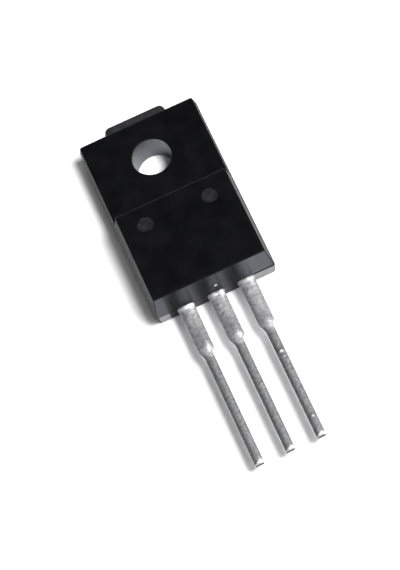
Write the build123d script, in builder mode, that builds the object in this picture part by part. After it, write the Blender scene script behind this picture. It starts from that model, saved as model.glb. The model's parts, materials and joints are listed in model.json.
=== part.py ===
from build123d import *
import math
import os

# Fully moulded power transistor with a mounting tab and three leads.
# Millimetres. The origin is on the back (heat-sink) face, on the mounting hole's axis.
# +X across the body, +Y towards the free end of the tab, +Z out of the back face
# towards the front. The leads run towards -Y.
# The mould halves meet at one parting plane. The leads lie under it, flush with it.

os.makedirs("parts", exist_ok=True)

# ---------------------------------------------------------------- driving sizes
# Moulding: its front half, measured at the parting plane where it is widest
body_width = 10.06
hole_to_tab_end = 3.6
hole_to_lead_end = 12.86
parting_height = 1.9
body_thickness = 4.2
tab_thickness = 2.8
tab_corner_radius = 0.2
lead_corner_radius = 0.14
front_draft = 8.4
side_draft_back = 2.0
end_draft_back = 12.7
mould_mismatch = 0.05
mould_shift = 0.09
front_edge_radius = 0.1
tab_edge_radius = 0.16
back_edge_radius = 0.1

# Step from the tab up to the thick half
hole_to_step = 4.44
step_draft = 8.0
step_root_radius = 0.25

# Mounting hole
hole_radius = 1.6
hole_rim_radius = 0.1

# Boss on the tab's end
boss_width = 5.27
boss_reach = 0.72
boss_root = 1.4
boss_front_height = 2.5
boss_back_height = 1.1
boss_corner_radius = 0.45
boss_edge_radius = 0.12

# Ejector-pin marks on the front face
mark_radius = 0.65
mark_spacing = 5.46
step_to_mark = 1.68
mark_depth = 0.06

# Leads
lead_pitch = 2.54
lead_thickness = 0.45
lead_wide_width = 1.31
lead_narrow_width = 0.76
lead_wide_length = 4.15
lead_length = 14.6
shoulder_step_length = 0.16
shoulder_slope_length = 0.75
shoulder_root_radius = 0.12
lead_edge_radius = 0.08
lead_tip_radius = 0.16

# Copper header under the die, and the moulding that is left around it
header_thickness = 1.1
back_cover = 0.55
side_cover = 1.0
tab_cover = 1.2
hole_cover = 1.0
header_corner_radius = 0.4

# Bond posts at the inner ends of the outer leads, and the centre lead's joggle
post_width = 1.95
post_length = 1.4
post_cover = 1.3
post_corner_radius = 0.25
post_to_header = 0.8
joggle_run = 0.8
joggle_to_header = 0.55
joggle_overlap = 0.5

# Die and its solder
die_side = 3.4
die_thickness = 0.3
solder_thickness = 0.06
solder_margin = 0.15
die_to_header_end = 1.0

# Bond wires
base_wire_diameter = 0.2
emitter_wire_diameter = 0.36
base_bond_spot = (-1.1, -1.1)
emitter_bond_spot = (0.55, 0.1)
wire_foot_length = 0.55
wire_loop_height = 0.85
wire_bend_radius = 0.5
wire_rise_share = 0.22
wire_foot_flattening = 0.2

# ---------------------------------------------------------------- derived places
tab_end_y = hole_to_tab_end
lead_end_y = -hole_to_lead_end
step_y = -hole_to_step

lead_top = parting_height
lead_bottom = parting_height - lead_thickness
lead_tip_y = lead_end_y - lead_length
shoulder_y = lead_end_y - lead_wide_length

header_top = back_cover + header_thickness
post_bottom_y = lead_end_y + post_cover
post_top_y = post_bottom_y + post_length
header_lead_end_y = post_top_y + post_to_header
header_tab_end_y = tab_end_y - tab_cover
header_width = body_width - 2 * side_cover
header_hole_radius = hole_radius + hole_cover

die_centre = (0, header_lead_end_y + die_to_header_end + die_side / 2)
die_bottom = header_top + solder_thickness
die_top = die_bottom + die_thickness


def inset(depth, draft):
    """How far a drafted wall leans in over a depth."""
    return depth * math.tan(math.radians(draft))


def add_lead_blade(lead_x, inner_y):
    """Adds one flat lead blade to the current part, from inner_y out to the tip.

    The left shoulder is a slope, and the right one is the square cut of the dam bar.
    """
    wide = lead_wide_width / 2
    narrow = lead_narrow_width / 2
    left_foot_y = shoulder_y - shoulder_slope_length
    right_foot_y = shoulder_y - shoulder_step_length
    with BuildSketch(Plane.XY.offset(lead_bottom)) as blade:
        with BuildLine():
            Polyline(
                (lead_x - wide, inner_y),
                (lead_x - wide, shoulder_y),
                (lead_x - narrow, left_foot_y),
                (lead_x - narrow, lead_tip_y),
                (lead_x + narrow, lead_tip_y),
                (lead_x + narrow, right_foot_y),
                (lead_x + wide, shoulder_y),
                (lead_x + wide, inner_y),
                close=True,
            )
        make_face()
        shoulder_foot = blade.vertices().sort_by_distance((lead_x + narrow, right_foot_y))[0]
        fillet(shoulder_foot, radius=shoulder_root_radius)
    extrude(blade.sketch, amount=lead_thickness)


def round_blade_edges(lead_part, inner_y):
    """Rounds a blade beyond the moulding's lead end.

    The sheared tip is rolled over on its front side, and the long edges are softened.
    """
    tip_edges = lead_part.edges().filter_by(Axis.X).group_by(Axis.Y)[0]
    fillet(tip_edges.sort_by(Axis.Z)[-1], radius=lead_tip_radius)
    flats = lead_part.faces().filter_by(Axis.Z)
    edges = [
        edge
        for edge in flats.edges()
        if edge.center().Y < inner_y and edge.bounding_box().size.Y > lead_edge_radius
    ]
    fillet(edges, radius=lead_edge_radius)


# ---------------------------------------------------------------- lead frame
# Collector: the header, its U-shaped opening round the mounting hole, and the
# centre lead, which steps down to the header's front surface.
with BuildPart() as collector_frame:
    with BuildSketch(Plane.XY.offset(back_cover)) as header_outline:
        with Locations((0, (header_tab_end_y + header_lead_end_y) / 2)):
            RectangleRounded(header_width, header_tab_end_y - header_lead_end_y, header_corner_radius)
        with BuildSketch(mode=Mode.SUBTRACT):
            Circle(header_hole_radius)
            with Locations((0, tab_end_y / 2)):
                Rectangle(2 * header_hole_radius, tab_end_y)
    extrude(amount=header_thickness)

    joggle_low_y = header_lead_end_y - joggle_to_header
    joggle_high_y = joggle_low_y - joggle_run
    with BuildSketch(Plane.YZ) as joggle_side:
        with BuildLine():
            Polyline(
                (header_lead_end_y + joggle_overlap, header_top),
                (joggle_low_y, header_top),
                (joggle_high_y, lead_top),
                (joggle_high_y - joggle_overlap, lead_top),
                (joggle_high_y - joggle_overlap, lead_bottom),
                (joggle_high_y, lead_bottom),
                (joggle_low_y, header_top - lead_thickness),
                (header_lead_end_y + joggle_overlap, header_top - lead_thickness),
                close=True,
            )
        make_face()
    extrude(amount=lead_wide_width / 2, both=True)
    add_lead_blade(0, joggle_high_y - joggle_overlap)
    round_blade_edges(collector_frame.part, lead_end_y)
collector_frame.part.label = "collector_frame"
export_step(collector_frame.part, "parts/collector_frame.step")


def make_outer_lead(lead_x):
    """One outer lead: a blade with its bond post, sealed in the moulding."""
    with BuildPart() as lead:
        add_lead_blade(lead_x, post_bottom_y + post_length / 2)
        with BuildSketch(Plane.XY.offset(lead_bottom)):
            with Locations((lead_x, post_bottom_y + post_length / 2)):
                RectangleRounded(post_width, post_length, post_corner_radius)
        extrude(amount=lead_thickness)
        round_blade_edges(lead.part, lead_end_y)
    return lead


base_lead = make_outer_lead(-lead_pitch)
base_lead.part.label = "base_lead"
export_step(base_lead.part, "parts/base_lead.step")

emitter_lead = make_outer_lead(lead_pitch)
emitter_lead.part.label = "emitter_lead"
export_step(emitter_lead.part, "parts/emitter_lead.step")


# ---------------------------------------------------------------- die and solder
with BuildPart() as die_solder:
    with BuildSketch(Plane.XY.offset(header_top)):
        with Locations(die_centre):
            Rectangle(die_side + 2 * solder_margin, die_side + 2 * solder_margin)
    extrude(amount=solder_thickness)
die_solder.part.label = "die_solder"
export_step(die_solder.part, "parts/die_solder.step")

with BuildPart() as silicon_die:
    with BuildSketch(Plane.XY.offset(die_bottom)):
        with Locations(die_centre):
            Rectangle(die_side, die_side)
    extrude(amount=die_thickness)
silicon_die.part.label = "silicon_die"
export_step(silicon_die.part, "parts/silicon_die.step")


# ---------------------------------------------------------------- bond wires
def make_bond_wire(bond_spot, post_x, diameter):
    """A wire looped from a spot on the die to a lead's bond post.

    Both feet are pressed flat: they stand on the die and on the post face to face.
    """
    foot_rise = diameter * (0.5 - wire_foot_flattening)
    die_spot = Vector(die_centre[0] + bond_spot[0], die_centre[1] + bond_spot[1])
    post_spot = Vector(post_x, post_bottom_y + post_length / 2)
    span = post_spot - die_spot
    direction = span.normalized()
    run = span.length
    low = die_top + foot_rise
    high = die_top + wire_loop_height
    post_level = lead_top + foot_rise
    loop_plane = Plane(
        origin=(die_spot.X, die_spot.Y, 0),
        x_dir=(direction.X, direction.Y, 0),
        z_dir=(direction.Y, -direction.X, 0),
    )
    with BuildPart() as wire:
        with BuildLine(loop_plane) as loop:
            FilletPolyline(
                (-wire_foot_length / 2, low),
                (wire_foot_length / 2, low),
                (run * wire_rise_share + wire_foot_length / 2, high),
                (run * (1 - wire_rise_share) - wire_foot_length / 2, high),
                (run - wire_foot_length / 2, post_level),
                (run + wire_foot_length / 2, post_level),
                radius=wire_bend_radius,
            )
        with BuildSketch(Plane(origin=loop.line @ 0, z_dir=loop.line % 0)):
            Circle(diameter / 2)
        sweep(path=loop.line)
        foot_block = 2 * wire_foot_length
        with Locations((die_spot.X, die_spot.Y, die_top), (post_spot.X, post_spot.Y, lead_top)):
            Box(
                foot_block,
                foot_block,
                diameter,
                align=(Align.CENTER, Align.CENTER, Align.MAX),
                mode=Mode.SUBTRACT,
            )
    return wire


base_bond_wire = make_bond_wire(base_bond_spot, -lead_pitch, base_wire_diameter)
base_bond_wire.part.label = "base_bond_wire"
export_step(base_bond_wire.part, "parts/base_bond_wire.step")

emitter_bond_wire = make_bond_wire(emitter_bond_spot, lead_pitch, emitter_wire_diameter)
emitter_bond_wire.part.label = "emitter_bond_wire"
export_step(emitter_bond_wire.part, "parts/emitter_bond_wire.step")


# ---------------------------------------------------------------- moulding
def add_drafted_block(start_height, end_height, centre_x, width, low_y, high_y, radii, drafts):
    """Adds one mould half of a block: it is widest at start_height and leans in from there.

    The two radii round the upright corners at its low_y and high_y ends. The two drafts
    are the sides' and the ends'.
    """
    depth = abs(end_height - start_height)
    outlines = []
    for height, side_inset, end_inset in (
        (start_height, 0, 0),
        (end_height, inset(depth, drafts[0]), inset(depth, drafts[1])),
    ):
        with BuildSketch(Plane.XY.offset(height)) as outline:
            with Locations((centre_x, (low_y + high_y) / 2)):
                Rectangle(width - 2 * side_inset, high_y - low_y - 2 * end_inset)
            fillet(outline.vertices().group_by(Axis.Y)[0], radius=radii[0])
            fillet(outline.vertices().group_by(Axis.Y)[-1], radius=radii[1])
        outlines.append(outline.sketch)
    loft(outlines)


with BuildPart() as moulded_body:
    corner_radii = (lead_corner_radius, tab_corner_radius)
    front_drafts = (front_draft, front_draft)
    back_drafts = (side_draft_back, end_draft_back)
    add_drafted_block(
        parting_height,
        body_thickness,
        0,
        body_width,
        lead_end_y,
        tab_end_y,
        corner_radii,
        front_drafts,
    )

    # The tab is cut down from the front face, behind a drafted step.
    step_rise = body_thickness - tab_thickness
    with BuildSketch(Plane.YZ) as tab_relief:
        with BuildLine():
            Polyline(
                (step_y, body_thickness),
                (step_y + inset(step_rise, step_draft), tab_thickness),
                (tab_end_y + body_thickness, tab_thickness),
                (tab_end_y + body_thickness, body_thickness + step_rise),
                (step_y - inset(step_rise, step_draft), body_thickness + step_rise),
                close=True,
            )
        make_face()
        step_root = tab_relief.vertices().group_by(Axis.Y)[0].sort_by(Axis.X)[0]
        fillet(step_root, radius=step_root_radius)
    extrude(amount=body_width, both=True, mode=Mode.SUBTRACT)

    tab_face = moulded_body.faces().filter_by(Axis.Z).sort_by(Axis.Z)[-2]
    tab_rim = tab_face.edges().filter_by(lambda e: e.center().Y > step_y / 2)
    fillet(tab_rim, radius=tab_edge_radius)
    front_face = moulded_body.faces().sort_by(Axis.Z)[-1]
    fillet(front_face.edges(), radius=front_edge_radius)

    # The back half is a little smaller than the front half, and sits a little to one side.
    add_drafted_block(
        parting_height,
        0,
        mould_shift,
        body_width - 2 * mould_mismatch,
        lead_end_y + mould_mismatch,
        tab_end_y - mould_mismatch,
        corner_radii,
        back_drafts,
    )
    back_face = moulded_body.faces().sort_by(Axis.Z)[0]
    fillet(back_face.edges(), radius=back_edge_radius)

    # Boss on the tab's end, with its root inside the tab.
    for boss_face_height, drafts in (
        (boss_front_height, front_drafts),
        (boss_back_height, back_drafts),
    ):
        add_drafted_block(
            parting_height,
            boss_face_height,
            0,
            boss_width,
            tab_end_y - boss_root,
            tab_end_y + boss_reach,
            (boss_corner_radius, boss_corner_radius),
            drafts,
        )
    boss_face = moulded_body.faces().filter_by(Axis.Z).sort_by(Axis.Y)[-2:].sort_by(Axis.Z)[-1]
    boss_rim = boss_face.edges().filter_by(lambda e: e.center().Y > tab_end_y)
    fillet(boss_rim, radius=boss_edge_radius)

    # Mounting hole, with a rounded front rim.
    Hole(hole_radius)
    hole_rims = moulded_body.edges().filter_by(GeomType.CIRCLE).filter_by_position(
        Axis.Z, tab_thickness - mark_depth, tab_thickness + mark_depth
    )
    fillet(hole_rims.sort_by(SortBy.RADIUS)[-1], radius=hole_rim_radius)

    # Ejector-pin marks.
    with BuildSketch(Plane.XY.offset(body_thickness)):
        with Locations((0, step_y - step_to_mark)):
            with GridLocations(mark_spacing, 0, 2, 1):
                Circle(mark_radius)
    extrude(amount=-mark_depth, mode=Mode.SUBTRACT)

    # Seats of the pieces that the moulding was moulded around.
    for inner_piece in (
        collector_frame,
        base_lead,
        emitter_lead,
        die_solder,
        silicon_die,
        base_bond_wire,
        emitter_bond_wire,
    ):
        add(inner_piece.part, mode=Mode.SUBTRACT)
moulded_body.part.label = "moulded_body"
export_step(moulded_body.part, "parts/moulded_body.step")
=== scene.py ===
import json
import math

import bmesh
import bpy
from bpy.props import FloatProperty, FloatVectorProperty, PointerProperty
from mathutils import Matrix, Vector, noise


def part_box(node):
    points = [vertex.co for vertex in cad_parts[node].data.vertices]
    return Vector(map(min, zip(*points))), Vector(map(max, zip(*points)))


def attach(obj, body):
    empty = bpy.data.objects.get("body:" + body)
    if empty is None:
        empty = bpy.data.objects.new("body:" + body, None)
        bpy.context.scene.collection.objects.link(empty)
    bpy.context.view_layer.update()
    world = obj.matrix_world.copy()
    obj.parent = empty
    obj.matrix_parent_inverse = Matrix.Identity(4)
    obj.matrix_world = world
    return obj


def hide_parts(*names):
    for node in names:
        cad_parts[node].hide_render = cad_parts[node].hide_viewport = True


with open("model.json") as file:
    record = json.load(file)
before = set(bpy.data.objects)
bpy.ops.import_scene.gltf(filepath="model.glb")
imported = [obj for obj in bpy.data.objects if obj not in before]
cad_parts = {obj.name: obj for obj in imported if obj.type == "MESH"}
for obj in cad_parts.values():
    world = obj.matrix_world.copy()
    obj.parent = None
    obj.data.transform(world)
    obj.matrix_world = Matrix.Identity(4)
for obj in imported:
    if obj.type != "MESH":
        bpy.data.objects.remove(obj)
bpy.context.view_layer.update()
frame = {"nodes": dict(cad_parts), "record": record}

bl_info = {
    "name": "Power transistor",
    "version": (1, 0, 0),
    "blender": (4, 5, 0),
    "location": "View3D > Sidebar > Transistor",
    "description": "Finishes and details of a fully moulded power transistor, with a pale stage",
    "category": "Object",
}

MM = 0.001
ROOT_BODY = "root"

# Places read from the solids and from the record
BODY_LOW, BODY_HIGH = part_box("moulded_body")
LEAD_LOW, LEAD_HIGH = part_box("base_lead")
LEAD_END_Y = BODY_LOW.y
LEAD_TIP_Y = LEAD_LOW.y
LEAD_MID_Z = (LEAD_LOW.z + LEAD_HIGH.z) / 2
LEAD_THICKNESS = LEAD_HIGH.z - LEAD_LOW.z
LEAD_PITCH = abs(LEAD_LOW.x + LEAD_HIGH.x) / 2
LEAD_HALF_WIDE = (LEAD_HIGH.x - LEAD_LOW.x) / 2
PARTING_Z = LEAD_HIGH.z
MOUNTS = {mount["name"]: mount for mount in frame["record"]["mounts"]}
HOLE_RADIUS = MOUNTS["mounting_hole"]["dims"]["r_mm"] * MM

# Places on the moulding that the finishes are laid out by
STEP_Y = -4.44 * MM
BOSS_FRONT_Z = 2.5 * MM
EDGE_DEPTH = 0.1 * MM
# Width of the grey line of painted highlight along the step's edge
STEP_HIGHLIGHT_WIDTH = 0.13 * MM
NEAR = 0.02 * MM

# A dull line along the parting, painted shade of the step between the mould halves, which is
# thicker from one place on to the right
SHADE_LINE = 0.05 * MM
THICK_SHADE_LINE = 0.16 * MM
THICK_SHADE_LINE_LEFT = 3.3 * MM

# Where the lead end's mirror is dimmed round the leads, as painted shade that deepens the floor
# shadows it mirrors: its left, its right and its finish
LEAD_BAYS = (
    (-3.6 * MM, 2.45 * MM, "lead_bay"),
    (-3.9 * MM, 2.75 * MM, "bay_edge"),
)

# How much of a face's normal points one way when the face is square to it, is an end, or
# slopes towards it, and when a sloping face still takes the finish of the flats
SQUARE_ON = 0.99
END_ON = 0.9
SLOPING = 0.3
FLAT_FINISH = 0.35

# Below these a solid's points are one, its faces are one, and a cut passes through a point
MERGE_DISTANCE = 1e-7
MERGE_ANGLE = math.radians(0.3)
CUT_DISTANCE = 1e-8

# Where the shading turns sharply: at corners, and sooner round faces of this area or more
SHARP_ANGLE = math.radians(32)
FLAT_EDGE_ANGLE = math.radians(2)
LARGE_FLAT = 0.5 * MM * MM

# How finely a lead is cut, how deep its cut tip is, and how far from the moulding the thick
# tin ends and the thin tin starts
ROW_LENGTH = 0.05 * MM
COLUMNS = 18
TIP_DEPTH = 0.001 * MM
THICK_TIN_END = 4.2 * MM
THIN_TIN_START = 5.2 * MM

# At the root of a lead the tin fills this share of the fall at its edges, over this reach,
# and flares over a shorter one, both in millimetres
ROOT_FILL = 0.7
ROOT_FILL_REACH = 0.5
FLARE_REACH = 0.16

SPLASH_PLACE = Vector((0.18, -12.74, 2.74)) * MM
SPLASH_RADIUS = 0.12 * MM
SPLASH_SHAPE = (1.2, 0.55, 0.8)

# How far apart the features of each pattern are, in millimetres. Spark grit, tin crystals
# and drawing lines are really 0.01 to 0.05 mm and too fine to show, so the first three are
# drawn coarser.
SPARK_GRAIN = 0.12
TIN_SAND = 0.2
METAL_GRAIN = 0.08
TIN_MOTTLE = 0.24

# The floor: half its side in metres, how far it clears the part, and how much brighter it
# looks, straight or mirrored, than the light that it gives
FLOOR_REACH = 3
FLOOR_GAP = 0.002 * MM
FLOOR_SEEN = 1.35

# The camera: its place round and above the part and its roll in degrees, its distance, its
# aim, how far left of the aim and below it the view is centred, in millimetres, and its lens
CAMERA_ANGLES = (-3.061, 62.364, -21.881)
CAMERA_DISTANCE = 220 * MM
CAMERA_AIM = Vector((0, -9, 1.5)) * MM
CAMERA_LEFT = 0.714
CAMERA_BELOW = 2.264
CAMERA_LENS = 178.69

# Where the tin gathered or pitted: lead, place across and along it from the moulding,
# reach across, reach back towards the moulding and on towards the tip, and height, in
# millimetres
TIN_SPOTS = (
    (0, 0.15, 0.00, 0.85, 0.30, 0.24, 0.095),
    (0, 0.26, 3.62, 0.36, 1.20, 0.56, 0.10),
    (0, -0.34, 0.95, 0.30, 0.30, 0.50, 0.03),
    (1, 0.48, 0.02, 0.34, 0.30, 0.30, 0.11),
    (1, -0.36, 0.02, 0.34, 0.30, 0.24, 0.05),
    (1, 0.05, 0.30, 0.12, 0.06, 0.07, -0.04),
    (1, 0.22, 3.78, 0.36, 1.20, 0.42, 0.09),
    (1, -0.30, 1.93, 0.10, 0.10, 0.10, -0.04),
    (1, -0.17, 1.18, 0.14, 0.14, 0.14, 0.03),
    (1, 0.20, 8.66, 0.09, 0.08, 0.08, 0.03),
    (1, 0.24, 8.92, 0.08, 0.08, 0.08, 0.025),
    (2, 0.20, 0.02, 0.60, 0.30, 0.28, 0.055),
    (2, 0.20, 0.62, 0.16, 0.20, 0.09, 0.025),
    (2, -0.34, 1.15, 0.22, 0.22, 0.22, 0.03),
    (2, 0.20, 4.00, 0.36, 0.60, 0.40, 0.04),
    (2, 0.02, 6.84, 0.15, 0.20, 0.09, 0.05),
    (2, 0.08, 7.27, 0.08, 0.08, 0.08, 0.025),
    (2, 0.10, 7.76, 0.08, 0.08, 0.08, 0.02),
    (0, 0.28, 14.62, 0.24, 0.30, 0.10, -0.09),
    (1, 0.28, 14.62, 0.20, 0.24, 0.10, -0.09),
    (2, 0.26, 14.62, 0.26, 0.22, 0.10, -0.09),
    (2, 0.04, 12.80, 0.12, 0.14, 0.12, 0.04),
)


def srgb_to_linear(hex_colour):
    """Turns an sRGB hex colour into the linear red, green and blue that shaders use."""
    channels = [int(hex_colour[i : i + 2], 16) / 255 for i in (1, 3, 5)]
    return tuple(c / 12.92 if c <= 0.04045 else ((c + 0.055) / 1.055) ** 2.4 for c in channels)


def per_mm(size):
    """Texture scale at which a pattern's features are this many millimetres apart."""
    return 1 / (size * MM)


# ---------------------------------------------------------------- sizes and colours
class TransistorSizes(bpy.types.PropertyGroup):
    """Sizes of the tin coat on the leads."""

    crown: FloatProperty(
        name="Tin crown",
        description="How far the dipped tin stands up along the middle of a lead's wide part",
        default=0.11 * MM,
        unit="LENGTH",
    )
    edge_fall: FloatProperty(
        name="Edge fall",
        description="How far a lead's rounded long edges fall below its flat",
        default=0.07 * MM,
        unit="LENGTH",
    )
    root_flare: FloatProperty(
        name="Root flare",
        description="How far the tin widens a lead where it leaves the moulding",
        default=0.06 * MM,
        unit="LENGTH",
    )
    ripple: FloatProperty(
        name="Tin ripple",
        description="Height of the slow waves in the dipped tin",
        default=0.006 * MM,
        unit="LENGTH",
    )
    ripple_length: FloatProperty(
        name="Ripple length",
        description="Distance between the waves along a lead",
        default=0.8 * MM,
        unit="LENGTH",
    )


class TransistorColours(bpy.types.PropertyGroup):
    """Colours of the finishes."""

    epoxy: FloatVectorProperty(
        name="Epoxy",
        description="Black moulding compound on the spark-eroded faces",
        subtype="COLOR",
        default=srgb_to_linear("#0a0a0b"),
    )
    epoxy_mark: FloatVectorProperty(
        name="Marks",
        description="Moulding compound under the ejector pins and on the boss",
        subtype="COLOR",
        default=srgb_to_linear("#28282a"),
    )
    epoxy_pale: FloatVectorProperty(
        name="Pale epoxy",
        description="Moulding compound where filler shows at the surface, as in the hole",
        subtype="COLOR",
        default=srgb_to_linear("#38383c"),
    )
    tin: FloatVectorProperty(
        name="Tin",
        description="Bright dipped tin",
        subtype="COLOR",
        default=srgb_to_linear("#ececee"),
    )
    tin_dull: FloatVectorProperty(
        name="Dull tin",
        description="Oxidised patches of the tin",
        subtype="COLOR",
        default=srgb_to_linear("#c6c6ca"),
    )
    tin_thin: FloatVectorProperty(
        name="Thin tin",
        description="Thin tin on the narrow part of the leads",
        subtype="COLOR",
        default=srgb_to_linear("#dadadc"),
    )
    floor: FloatVectorProperty(
        name="Floor",
        description="Pale floor that the part lies on",
        subtype="COLOR",
        default=srgb_to_linear("#ffffff"),
    )


# ---------------------------------------------------------------- material helpers
def add_node(tree, kind, settings=None, values=None):
    """Adds one node. Settings are its own; values are numbers or links for its sockets."""
    node = tree.nodes.new(kind)
    for name, value in (settings or {}).items():
        setattr(node, name, value)
    for name, value in (values or {}).items():
        socket = node.inputs[name]
        if isinstance(value, bpy.types.NodeSocket):
            tree.links.new(value, socket)
        else:
            socket.default_value = value
    return node


def new_material(name):
    """An empty material with its output, and the tree to fill."""
    material = bpy.data.materials.new(name)
    material.use_nodes = True
    material.node_tree.nodes.clear()
    return material, material.node_tree


def finish_material(tree, shader):
    """Joins a shader to a new output node."""
    add_node(tree, "ShaderNodeOutputMaterial", values={"Surface": shader.outputs[0]})


def shown_rays(tree):
    """One for rays that show a thing straight, mirrored or through glass, else nought."""
    rays = add_node(tree, "ShaderNodeLightPath").outputs
    shown = rays["Is Camera Ray"]
    for kind in ("Is Glossy Ray", "Is Transmission Ray"):
        shown = add_node(
            tree,
            "ShaderNodeMath",
            settings={"operation": "MAXIMUM"},
            values={0: shown, 1: rays[kind]},
        ).outputs[0]
    return shown


def opaque(colour):
    """A colour with its alpha, as sockets take it."""
    return (*colour, 1)


def dress(node_name, material):
    """Gives a solid of the frame its finish."""
    node = frame["nodes"][node_name]
    node.data.materials.clear()
    node.data.materials.append(material)


# ---------------------------------------------------------------- finishes
def moulded_epoxy(name, colour, roughness, shine, grain_depth, cloud_size):
    """Black epoxy moulding compound, as it leaves one area of the mould.

    Spark-eroded areas give it a fine matte grain. Drawn and polished ones are smoother, so
    they mirror what stands near them, in the cool tone of the silica in the compound.
    """
    material, tree = new_material(name)
    place = add_node(tree, "ShaderNodeTexCoord").outputs["Object"]
    cloud = add_node(
        tree,
        "ShaderNodeTexNoise",
        values={"Vector": place, "Scale": per_mm(cloud_size), "Detail": 5},
    )
    grain = add_node(
        tree,
        "ShaderNodeTexNoise",
        values={"Vector": place, "Scale": per_mm(SPARK_GRAIN), "Detail": 3},
    )
    share = add_node(
        tree,
        "ShaderNodeMapRange",
        values={"Value": cloud.outputs["Fac"], "From Min": 0.3, "From Max": 0.7},
    )
    dark = [0.5 * c for c in colour]
    light = [1.7 * c for c in colour]
    tint = add_node(
        tree,
        "ShaderNodeMix",
        settings={"data_type": "RGBA"},
        values={"Factor": share.outputs[0], "A": opaque(dark), "B": opaque(light)},
    )
    spread = add_node(
        tree,
        "ShaderNodeMapRange",
        values={
            "Value": share.outputs[0],
            "To Min": roughness - 0.04,
            "To Max": roughness + 0.04,
        },
    )
    bump = add_node(
        tree,
        "ShaderNodeBump",
        values={"Strength": 0.5, "Distance": grain_depth * MM, "Height": grain.outputs["Fac"]},
    )
    shader = add_node(
        tree,
        "ShaderNodeBsdfPrincipled",
        values={
            "Base Color": tint.outputs["Result"],
            "Roughness": spread.outputs[0],
            "Normal": bump.outputs[0],
            "IOR": 1.6,
            "Specular IOR Level": shine,
            "Specular Tint": opaque(srgb_to_linear("#ecf0ff")),
        },
    )
    finish_material(tree, shader)
    return material


def dipped_tin(colours):
    """Tin left on copper strip by dipping: satin and pale, with fine sandy mottling.

    It is thick near the moulding. Towards the tips it is thin, so it takes the smoother
    and darker look of the strip under it.
    """
    material, tree = new_material("dipped_tin_on_copper")
    place = add_node(tree, "ShaderNodeTexCoord").outputs["Object"]
    along = add_node(tree, "ShaderNodeSeparateXYZ", values={"Vector": place}).outputs["Y"]
    thin = add_node(
        tree,
        "ShaderNodeMapRange",
        settings={"interpolation_type": "SMOOTHSTEP"},
        values={
            "Value": along,
            "From Min": LEAD_END_Y - THICK_TIN_END,
            "From Max": LEAD_END_Y - THIN_TIN_START,
        },
    ).outputs[0]
    mottle = add_node(
        tree,
        "ShaderNodeTexNoise",
        values={"Vector": place, "Scale": per_mm(TIN_MOTTLE), "Detail": 5},
    )
    patches = add_node(
        tree,
        "ShaderNodeMapRange",
        settings={"interpolation_type": "SMOOTHSTEP"},
        values={"Value": mottle.outputs["Fac"], "From Min": 0.3, "From Max": 0.65},
    ).outputs[0]
    thin_dull = [0.65 * c for c in colours.tin_thin]
    thick_tint, thin_tint = (
        add_node(
            tree,
            "ShaderNodeMix",
            settings={"data_type": "RGBA"},
            values={"Factor": patches, "A": opaque(dull), "B": opaque(bright)},
        ).outputs["Result"]
        for dull, bright in ((colours.tin_dull, colours.tin), (thin_dull, colours.tin_thin))
    )
    tint = add_node(
        tree,
        "ShaderNodeMix",
        settings={"data_type": "RGBA"},
        values={"Factor": thin, "A": thick_tint, "B": thin_tint},
    )
    roughness = add_node(
        tree, "ShaderNodeMapRange", values={"Value": thin, "To Min": 0.54, "To Max": 0.46}
    )
    sand = add_node(
        tree,
        "ShaderNodeTexNoise",
        values={"Vector": place, "Scale": per_mm(TIN_SAND), "Detail": 3},
    )
    bump = add_node(
        tree,
        "ShaderNodeBump",
        values={"Strength": 0.7, "Distance": 0.018 * MM, "Height": sand.outputs["Fac"]},
    )
    shader = add_node(
        tree,
        "ShaderNodeBsdfPrincipled",
        values={
            "Base Color": tint.outputs["Result"],
            "Metallic": 1.0,
            "Roughness": roughness.outputs[0],
            "Normal": bump.outputs[0],
        },
    )
    finish_material(tree, shader)
    return material


def plain_metal(name, colour, roughness):
    """A drawn, cut or soldered metal: even in colour, with a fine grain in its shine."""
    material, tree = new_material(name)
    place = add_node(tree, "ShaderNodeTexCoord").outputs["Object"]
    grain = add_node(
        tree,
        "ShaderNodeTexNoise",
        values={"Vector": place, "Scale": per_mm(METAL_GRAIN), "Detail": 3},
    )
    bump = add_node(
        tree,
        "ShaderNodeBump",
        values={"Strength": 0.3, "Distance": 0.003 * MM, "Height": grain.outputs["Fac"]},
    )
    shader = add_node(
        tree,
        "ShaderNodeBsdfPrincipled",
        values={
            "Base Color": opaque(srgb_to_linear(colour)),
            "Metallic": 1.0,
            "Roughness": roughness,
            "Normal": bump.outputs[0],
        },
    )
    finish_material(tree, shader)
    return material


# ---------------------------------------------------------------- pieces from solids
def merged_copy(node_name):
    """A new mesh and an open bmesh with a solid's surface, its doubled points merged."""
    mesh = bpy.data.meshes.new(node_name)
    bm = bmesh.new()
    bm.from_mesh(frame["nodes"][node_name].data)
    bmesh.ops.remove_doubles(bm, verts=bm.verts, dist=MERGE_DISTANCE)
    bmesh.ops.dissolve_limit(bm, verts=bm.verts, edges=bm.edges, angle_limit=MERGE_ANGLE)
    return mesh, bm


def add_piece(name, mesh, node_name):
    """Adds a finished piece, which stands for a solid of the frame."""
    piece = bpy.data.objects.new(name, mesh)
    bpy.context.scene.collection.objects.link(piece)
    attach(piece, ROOT_BODY)
    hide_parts(node_name)
    return piece


def smooth_but_sharp(bm):
    """Shades smooth, with sharp edges at corners and all round large flats."""
    for face in bm.faces:
        face.smooth = True
    for edge in bm.edges:
        turn = edge.calc_face_angle(0)
        meets_flat = any(face.calc_area() > LARGE_FLAT for face in edge.link_faces)
        edge.smooth = turn < SHARP_ANGLE and not (meets_flat and turn > FLAT_EDGE_ANGLE)


def cut_faces(bm, faces, place, turn):
    """Cuts these faces with a plane through place and square to turn."""
    verts = {v for f in faces for v in f.verts}
    edges = {e for f in faces for e in f.edges}
    return bmesh.ops.bisect_plane(
        bm,
        geom=[*verts, *edges, *faces],
        dist=CUT_DISTANCE,
        plane_co=place,
        plane_no=turn,
    )


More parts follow.
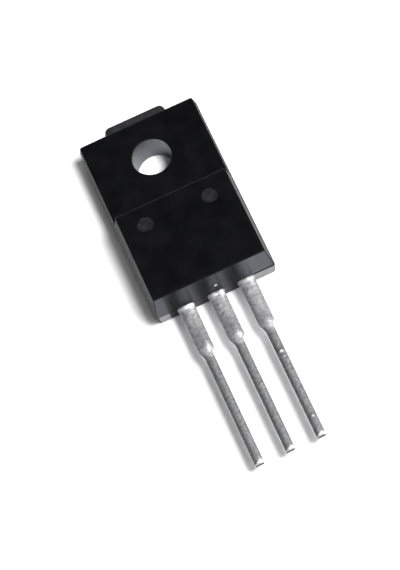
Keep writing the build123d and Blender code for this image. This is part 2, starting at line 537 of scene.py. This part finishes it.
# ---------------------------------------------------------------- leads
def cut_across(bm, start):
    """Cuts a lead into short rows from start to its tip, nearest the moulding first."""
    rest = [f for f in bm.faces if min(v.co.y for v in f.verts) < start]
    count = round((start - LEAD_TIP_Y) / ROW_LENGTH)
    for i in range(count):
        limit = start - ROW_LENGTH * i
        cut = cut_faces(bm, rest, (0, limit, 0), (0, 1, 0))
        rest = [
            f
            for f in cut["geom"]
            if isinstance(f, bmesh.types.BMFace) and f.calc_center_median().y < limit
        ]


def cut_along(bm, start, lead_x):
    """Cuts a lead into columns from start to its tip."""
    for i in range(1, COLUMNS):
        column_x = lead_x + LEAD_HALF_WIDE * (2 * i / COLUMNS - 1)
        faces = [f for f in bm.faces if f.calc_center_median().y < start]
        cut_faces(bm, faces, (column_x, 0, 0), (1, 0, 0))


def row_of(v):
    """The number of a vertex's row, counted from the tip of its lead."""
    return round((v.co.y - LEAD_TIP_Y) / ROW_LENGTH)


def half_widths(verts, lead_x):
    """The half width of a lead in each row of its vertices."""
    widths = {}
    for v in verts:
        row = row_of(v)
        widths[row] = max(widths.get(row, 0), abs(v.co.x - lead_x))
    return widths


def spot_height(number, across, along):
    """Height of the gathered or pitted tin at a place on a lead, all in millimetres."""
    total = 0
    for lead, x, y, reach_across, reach_back, reach_on, height in TIN_SPOTS:
        if lead == number:
            reach = reach_on if along > y else reach_back
            fall = ((across - x) / reach_across) ** 2 + ((along - y) / reach) ** 2
            total += height * math.exp(-fall)
    return total


def make_tinned_lead(name, node_name, number, sizes):
    """A copy of a lead's solid whose outer faces carry the uneven dipped tin."""
    mesh, bm = merged_copy(node_name)
    lead_x = (number - 1) * LEAD_PITCH
    start = LEAD_END_Y + ROW_LENGTH
    cut_across(bm, start)
    cut_along(bm, start, lead_x)
    outer = [v for v in bm.verts if v.co.y < start - 0.5 * ROW_LENGTH]
    widths = half_widths(outer, lead_x)
    for v in outer:
        row = row_of(v)
        near = [widths[r] for r in range(row - 3, row + 4) if r in widths]
        half = sum(near) / len(near)
        across = (v.co.x - lead_x) / MM
        along = (LEAD_END_Y - v.co.y) / MM
        # Nought along the middle of the width and one at the edges; nought at mid thickness
        # and one at the flats
        aside = min(1, abs(v.co.x - lead_x) / widths[row])
        from_middle = abs(v.co.z - LEAD_MID_Z) / (LEAD_THICKNESS / 2)
        side = 1 if v.co.z > LEAD_MID_Z else -1
        # Each lead takes its waves from a place of its own in the noise, and shorter waves
        # of half the height lie over them
        place = v.co / sizes.ripple_length + Vector((7.3 * number, 0, 0))
        wave = noise.noise(place) + 0.5 * noise.noise(3.7 * place)
        fill = ROOT_FILL * math.exp(-((along / ROOT_FILL_REACH) ** 2))
        height = (
            sizes.crown * (half / LEAD_HALF_WIDE) ** 1.3 * (1 - aside * aside)
            - sizes.edge_fall * aside**3 * (1 - fill)
            + sizes.ripple * wave * (1 - aside**4)
        )
        if side > 0:
            height += spot_height(number, across, along) * MM * (1 - 0.5 * aside**6)
        v.co.z += side * height * from_middle**3
        flare = sizes.root_flare * math.exp(-((along / FLARE_REACH) ** 2)) * aside**3
        v.co.x += math.copysign(flare, across)
    for face in bm.faces:
        face.material_index = int(face.calc_center_median().y < LEAD_TIP_Y + TIP_DEPTH)
    smooth_but_sharp(bm)
    bm.to_mesh(mesh)
    bm.free()
    return add_piece(name, mesh, node_name)


# ---------------------------------------------------------------- operators
class TransistorMoulding(bpy.types.Operator):
    """Makes the moulded body from its solid, with a finish for each area of the mould"""

    bl_idname = "transistor.moulding"
    bl_label = "Make the moulding"

    def execute(self, context):
        finishes = self.make_finishes(context.scene.transistor_colours)
        areas = list(finishes)
        mesh, bm = merged_copy("moulded_body")
        self.mark_out(bm)
        for face in bm.faces:
            face.material_index = areas.index(self.area_of(face))
        smooth_but_sharp(bm)
        bm.to_mesh(mesh)
        bm.free()
        body = add_piece("epoxy_body", mesh, "moulded_body")
        for material in finishes.values():
            body.data.materials.append(material)
        return {"FINISHED"}

    def make_finishes(self, colours):
        """A finish for each area of the mould.

        Each has its name, colour, roughness, shine, grain depth and cloud size, the last
        two in millimetres.
        """
        black = colours.epoxy
        grey = colours.epoxy_mark
        pale = colours.epoxy_pale
        # A paler grey for the painted highlight on the step's edge
        step_highlight_grey = [0.6 * c for c in grey]
        table = {
            # Spark-eroded faces: the deepest black, matte and faintly clouded
            "flat": ("spark_eroded_epoxy", black, 0.5, 0.1, 0.006, 1.6),
            # Drafted walls, drawn off the steel: black with a soft sheen
            "wall": ("drawn_epoxy", black, 0.5, 0.15, 0.004, 1.2),
            # Polished steel at the lead end: a dark mirror
            "lead_end": ("polished_epoxy", black, 0.2, 0.72, 0.001, 2.5),
            # The same steel where the leads lie, its mirror dimmed: painted shade that deepens
            # the shadows it mirrors
            "lead_bay": ("bay_painted_shade_epoxy", black, 0.18, 0.36, 0.001, 2.5),
            # Between the two, and below the parting off the bays: the mirror half dimmed, also
            # painted shade
            "bay_edge": ("bay_edge_painted_shade_epoxy", black, 0.19, 0.54, 0.001, 2.5),
            # Along the parting: a rough line without shine, painted shade that stands for the
            # shadow under the step between the mould halves
            "shade_line": ("parting_painted_shade_epoxy", black, 0.7, 0.05, 0.006, 0.3),
            # The step's edge: a thin grey line, painted highlight where its rounded edge catches
            # the light
            "rim": ("step_edge_painted_highlight_epoxy", step_highlight_grey, 0.5, 0.15, 0.003, 0.5),
            # The hole's wall, from a ground core pin: pale with filler, and glossy
            "hole": ("core_pin_epoxy", pale, 0.35, 0.8, 0.004, 0.5),
            # Under the ejector pins: matte grey rounds
            "mark": ("ejector_pin_epoxy", grey, 0.5, 0.1, 0.003, 0.4),
            # The boss, where the compound ran in: grey with a soft sheen
            "boss": ("boss_epoxy", grey, 0.45, 0.3, 0.004, 0.6),
        }
        return {area: moulded_epoxy(*finish) for area, finish in table.items()}

    def mark_out(self, bm):
        """Cuts the outlines of the parting line of painted shade, the bays of dimmed mirror round
        the leads, and the step's edge line of painted highlight.
        """
        for place, turn in (
            ((0, 0, PARTING_Z + SHADE_LINE), (0, 0, 1)),
            ((0, 0, PARTING_Z + THICK_SHADE_LINE), (0, 0, 1)),
            ((THICK_SHADE_LINE_LEFT, 0, 0), (1, 0, 0)),
            *(((x, 0, 0), (1, 0, 0)) for left, right, _ in LEAD_BAYS for x in (left, right)),
        ):
            cut_faces(bm, [f for f in bm.faces if self.at_lead_end(f)], place, turn)
        front = [f for f in bm.faces if f.normal.z > SQUARE_ON]
        cut_faces(bm, front, (0, STEP_Y - STEP_HIGHLIGHT_WIDTH, 0), (0, 1, 0))

    def at_lead_end(self, face):
        """Whether a face is part of the end that the leads leave from."""
        return face.normal.y < -END_ON and face.calc_center_median().y < STEP_Y

    def area_of(self, face):
        """The name of the mould area that shaped a face."""
        middle = face.calc_center_median()
        below_front = BODY_HIGH.z - middle.z
        if self.at_lead_end(face):
            # Along the parting, a dull strip of painted shade
            shade_line = THICK_SHADE_LINE if middle.x > THICK_SHADE_LINE_LEFT else SHADE_LINE
            if 0 < middle.z - PARTING_Z < shade_line:
                return "shade_line"
            # Round the leads the mirror is dimmed, as painted shade
            for left, right, bay in LEAD_BAYS:
                if left < middle.x < right:
                    return bay if middle.z > PARTING_Z else "wall"
            return "lead_end" if middle.z > PARTING_Z else "bay_edge"
        # A band along the step's front edge takes the grey of painted highlight
        if face.normal.z > SLOPING and below_front < EDGE_DEPTH:
            if -STEP_HIGHLIGHT_WIDTH < middle.y - STEP_Y < 2 * STEP_HIGHLIGHT_WIDTH:
                return "rim"
        if face.normal.z > SQUARE_ON and NEAR < below_front < EDGE_DEPTH:
            return "mark"
        from_axis = math.hypot(middle.x, middle.y)
        if from_axis < HOLE_RADIUS + NEAR and abs(face.normal.z) < SLOPING:
            return "hole"
        on_far_half = middle.y > BODY_HIGH.y / 2
        if on_far_half and face.normal.z > SLOPING and middle.z < BOSS_FRONT_Z + NEAR:
            return "boss"
        if abs(face.normal.z) > FLAT_FINISH:
            return "flat"
        return "wall"


class TransistorLeads(bpy.types.Operator):
    """Makes the three tin-dipped leads from their solids"""

    bl_idname = "transistor.leads"
    bl_label = "Make the tinned leads"

    def execute(self, context):
        tin = dipped_tin(context.scene.transistor_colours)
        # The strip is bare where it was cut off: a dull dark line at each tip
        sheared = plain_metal("sheared_lead_end", "#5a5856", 0.5)
        sizes = context.scene.transistor_sizes
        for number, (name, node_name) in enumerate(
            (
                ("tinned_base_lead", "base_lead"),
                ("tinned_collector_frame", "collector_frame"),
                ("tinned_emitter_lead", "emitter_lead"),
            )
        ):
            lead = make_tinned_lead(name, node_name, number, sizes)
            lead.data.materials.append(tin)
            lead.data.materials.append(sheared)
        return {"FINISHED"}


class TransistorSplash(bpy.types.Operator):
    """Adds the droplet of tin that stuck to the lead end above the collector lead"""

    bl_idname = "transistor.splash"
    bl_label = "Add the tin splash"

    def execute(self, context):
        mesh = bpy.data.meshes.new("tin_splash")
        bm = bmesh.new()
        bmesh.ops.create_icosphere(bm, subdivisions=4, radius=SPLASH_RADIUS)
        for v in bm.verts:
            v.co *= 1 + 0.25 * noise.noise(v.co / SPLASH_RADIUS)
        bmesh.ops.scale(bm, vec=SPLASH_SHAPE, verts=bm.verts)
        bmesh.ops.translate(bm, vec=SPLASH_PLACE, verts=bm.verts)
        for face in bm.faces:
            face.smooth = True
        bm.to_mesh(mesh)
        bm.free()
        mesh.materials.append(bpy.data.materials["dipped_tin_on_copper"])
        splash = bpy.data.objects.new("tin_splash", mesh)
        context.scene.collection.objects.link(splash)
        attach(splash, ROOT_BODY)
        return {"FINISHED"}


class TransistorDie(bpy.types.Operator):
    """Finishes the die, its solder and the bond wires inside the moulding"""

    bl_idname = "transistor.die"
    bl_label = "Finish the die and wires"

    def execute(self, context):
        # Set solder: satin grey
        dress("die_solder", plain_metal("soft_solder", "#8d8d92", 0.45))
        # A polished die under its metal coat: a dark mirror
        dress("silicon_die", plain_metal("metallised_silicon", "#55565c", 0.15))
        # Drawn wire: bright and smooth
        wire = plain_metal("drawn_aluminium_wire", "#d9dadc", 0.25)
        dress("base_bond_wire", wire)
        dress("emitter_bond_wire", wire)
        return {"FINISHED"}


class TransistorStage(bpy.types.Operator):
    """Sets the floor, the soft light and the camera"""

    bl_idname = "transistor.stage"
    bl_label = "Set the stage"

    def execute(self, context):
        self.make_floor(context)
        self.make_light(context)
        self.make_camera(context)
        return {"FINISHED"}

    def make_floor(self, context):
        """A wide sheet of pale card, matte and bright."""
        mesh = bpy.data.meshes.new("floor")
        bm = bmesh.new()
        bmesh.ops.create_grid(bm, x_segments=1, y_segments=1, size=FLOOR_REACH)
        for v in bm.verts:
            v.co.z = BODY_LOW.z - FLOOR_GAP
        bm.to_mesh(mesh)
        bm.free()
        floor = bpy.data.objects.new("floor", mesh)
        context.scene.collection.objects.link(floor)
        material, tree = new_material("pale_card")
        colour = context.scene.transistor_colours.floor
        bright = [FLOOR_SEEN * c for c in colour]
        seen = add_node(
            tree,
            "ShaderNodeMix",
            settings={"data_type": "RGBA"},
            values={"Factor": shown_rays(tree), "A": opaque(colour), "B": opaque(bright)},
        )
        shader = add_node(tree, "ShaderNodeBsdfDiffuse", values={"Color": seen.outputs["Result"]})
        finish_material(tree, shader)
        mesh.materials.append(material)

    def make_light(self, context):
        """A window, the wall beside it, and a dim room with paler walls all round."""
        self.make_lamp(
            context, "window_light", direction=Vector((0.375, -0.31, 1)), energy=2.55, spread=17
        )
        self.make_lamp(
            context, "bright_wall", direction=Vector((0.35, -0.5, 1)), energy=0.58, spread=35
        )
        world = bpy.data.worlds.new("soft_room")
        context.scene.world = world
        world.use_nodes = True
        tree = world.node_tree
        tree.nodes.clear()
        direction = add_node(tree, "ShaderNodeTexCoord").outputs["Generated"]
        axes = add_node(tree, "ShaderNodeSeparateXYZ", values={"Vector": direction}).outputs
        dim_room = 0.06
        right_wall = self.glow(tree, axes["X"], start=-0.35, end=0.45, low=0, high=0.14)
        front_wall = self.glow(tree, axes["Y"], start=-0.3, end=-0.9, low=0, high=0.25)
        back_wall = self.glow(tree, axes["Y"], start=0.75, end=1, low=0, high=0.6)
        ceiling = self.glow(tree, axes["Z"], start=0.4, end=0.9, low=1, high=0.55)
        level = dim_room
        for operation, part in (
            ("ADD", right_wall),
            ("ADD", front_wall),
            ("ADD", back_wall),
            ("MULTIPLY", ceiling),
        ):
            level = add_node(
                tree,
                "ShaderNodeMath",
                settings={"operation": operation},
                values={0: level, 1: part},
            ).outputs[0]
        fill = add_node(tree, "ShaderNodeBackground", values={"Strength": level})
        white = add_node(tree, "ShaderNodeBackground", values={"Strength": 1.0})
        for background in (fill, white):
            background.inputs["Color"].default_value = (1, 1, 1, 1)
        # Only a straight view sees white: what the tin and the moulding mirror is the room
        rays = add_node(tree, "ShaderNodeLightPath").outputs
        mix = add_node(
            tree,
            "ShaderNodeMixShader",
            values={0: rays["Is Camera Ray"], 1: fill.outputs[0], 2: white.outputs[0]},
        )
        add_node(tree, "ShaderNodeOutputWorld", values={"Surface": mix.outputs[0]})

    def make_lamp(self, context, name, direction, energy, spread):
        """Light from a far round patch, of this spread in degrees, in this direction."""
        lamp = bpy.data.lights.new(name, "SUN")
        lamp.energy = energy
        lamp.angle = math.radians(spread)
        sun = bpy.data.objects.new(name, lamp)
        sun.rotation_mode = "QUATERNION"
        sun.rotation_quaternion = direction.to_track_quat("Z", "Y")
        context.scene.collection.objects.link(sun)

    def glow(self, tree, coordinate, start, end, low, high):
        """Light that goes smoothly from low to high as a direction goes from start to end."""
        return add_node(
            tree,
            "ShaderNodeMapRange",
            settings={"interpolation_type": "SMOOTHSTEP"},
            values={
                "Value": coordinate,
                "From Min": start,
                "From Max": end,
                "To Min": low,
                "To Max": high,
            },
        ).outputs[0]

    def make_camera(self, context):
        """A long lens that looks down on the part, rolled so that it lies aslant."""
        azimuth, elevation, roll = (math.radians(a) for a in CAMERA_ANGLES)
        back = Vector(
            (
                math.sin(azimuth) * math.cos(elevation),
                -math.cos(azimuth) * math.cos(elevation),
                math.sin(elevation),
            )
        )
        right = Vector((math.cos(azimuth), math.sin(azimuth), 0))
        up = back.cross(right)
        aim = CAMERA_AIM - right * CAMERA_LEFT * MM - up * CAMERA_BELOW * MM
        data = bpy.data.cameras.new("camera")
        data.sensor_width = 36
        data.lens = CAMERA_LENS
        data.clip_start = 0.01
        data.clip_end = 20
        camera = bpy.data.objects.new("camera", data)
        camera.location = aim + back * CAMERA_DISTANCE
        x_axis = math.cos(roll) * right + math.sin(roll) * up
        y_axis = -math.sin(roll) * right + math.cos(roll) * up
        camera.rotation_mode = "QUATERNION"
        camera.rotation_quaternion = Matrix((x_axis, y_axis, back)).transposed().to_quaternion()
        context.scene.collection.objects.link(camera)
        context.scene.camera = camera


class TransistorPanel(bpy.types.Panel):
    """Lists what makes the transistor"""

    bl_idname = "TRANSISTOR_PT_panel"
    bl_label = "Power transistor"
    bl_space_type = "VIEW_3D"
    bl_region_type = "UI"
    bl_category = "Transistor"

    def draw(self, context):
        column = self.layout.column()
        for operator in OPERATORS:
            column.operator(operator.bl_idname)
        for group in (context.scene.transistor_sizes, context.scene.transistor_colours):
            for name in group.bl_rna.properties.keys():
                if name not in ("rna_type", "name"):
                    column.prop(group, name)


OPERATORS = (
    TransistorStage,
    TransistorMoulding,
    TransistorLeads,
    TransistorSplash,
    TransistorDie,
)
CLASSES = (TransistorSizes, TransistorColours, *OPERATORS, TransistorPanel)


def register():
    """Adds the classes, and their sizes and colours to the scene."""
    for cls in CLASSES:
        bpy.utils.register_class(cls)
    bpy.types.Scene.transistor_sizes = PointerProperty(type=TransistorSizes)
    bpy.types.Scene.transistor_colours = PointerProperty(type=TransistorColours)


def unregister():
    """Takes away what register added."""
    del bpy.types.Scene.transistor_colours
    del bpy.types.Scene.transistor_sizes
    for cls in reversed(CLASSES):
        bpy.utils.unregister_class(cls)


def main():
    """Makes the stage and the transistor."""
    register()
    context = bpy.context
    context.scene.view_settings.view_transform = "Standard"
    bpy.ops.transistor.stage()
    bpy.ops.transistor.moulding()
    bpy.ops.transistor.leads()
    bpy.ops.transistor.splash()
    bpy.ops.transistor.die()


if __name__ == "__main__":
    main()
